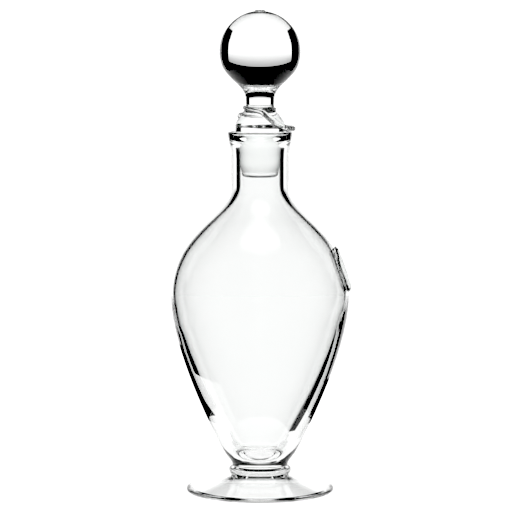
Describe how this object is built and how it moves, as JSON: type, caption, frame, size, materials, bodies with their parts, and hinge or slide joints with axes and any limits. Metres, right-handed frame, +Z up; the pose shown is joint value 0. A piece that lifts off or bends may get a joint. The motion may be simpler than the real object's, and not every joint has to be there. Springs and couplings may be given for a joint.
{
  "type": "wine decanter",
  "caption": "Footed wine decanter in clear blown glass: ovoid bowl, narrow neck, applied shoulder seal, and a ball stopper with a ground plug and a wrapped glass thread.",
  "frame": {"origin": "centre of the flat ring the foot stands on, in the resting plane", "axes": "+Z up along the bowl's axis; +X towards the middle of the shoulder seal"},
  "size_m": [0.1201, 0.1186, 0.3203],
  "materials": {
    "clear_glass": "clear colourless soda-lime crystal, fire-polished, faint grey-green tone in thick sections",
    "seal_glass": "clear glass, hot-stamped relief with soft fire-rounded edges",
    "ground_glass": "clear glass with a satin ground taper on the plug",
    "stopper_glass": "clear solid glass, fire-polished"
  },
  "bodies": {
    "decanter": {"bowl_and_neck": "clear_glass", "merese": "clear_glass", "foot": "clear_glass", "shoulder_seal": "seal_glass"},
    "stopper": {"stopper_plug": "ground_glass", "stopper_ball": "stopper_glass", "stopper_trail": "stopper_glass"}
  },
  "joints": [
    {"name": "stopper_lift", "type": "slide", "parent": "decanter", "child": "stopper", "axis": [0, 0, 1], "range_m": [0, 0.07]}
  ]
}
